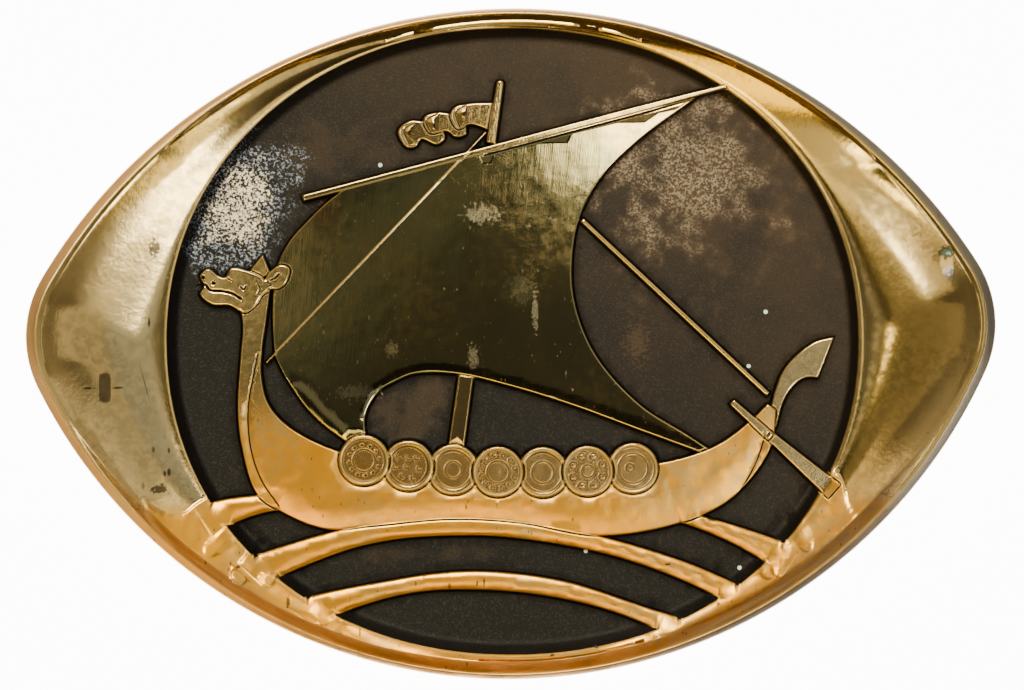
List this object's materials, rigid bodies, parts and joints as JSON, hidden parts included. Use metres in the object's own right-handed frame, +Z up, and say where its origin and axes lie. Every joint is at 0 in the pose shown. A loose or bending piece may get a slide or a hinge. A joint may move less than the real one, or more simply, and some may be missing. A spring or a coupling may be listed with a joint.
{
  "type": "decorative dish",
  "caption": "Cast bronze dish with pointed ends, a raised rim and a dark oval well that holds a low relief of a longship under sail on arched waves.",
  "frame": {"origin": "on the surface it lies on, under the middle of the dish's outline", "axes": "+X along the dish towards the ship's stern, +Y across it towards the top of the picture, +Z up out of the face"},
  "size_m": [0.3, 0.2088, 0.0195],
  "materials": {
    "bronze": "polished on the raised parts, dark patina in the recesses"
  },
  "bodies": {
    "root": {"plate": "bronze"}
  },
  "joints": []
}
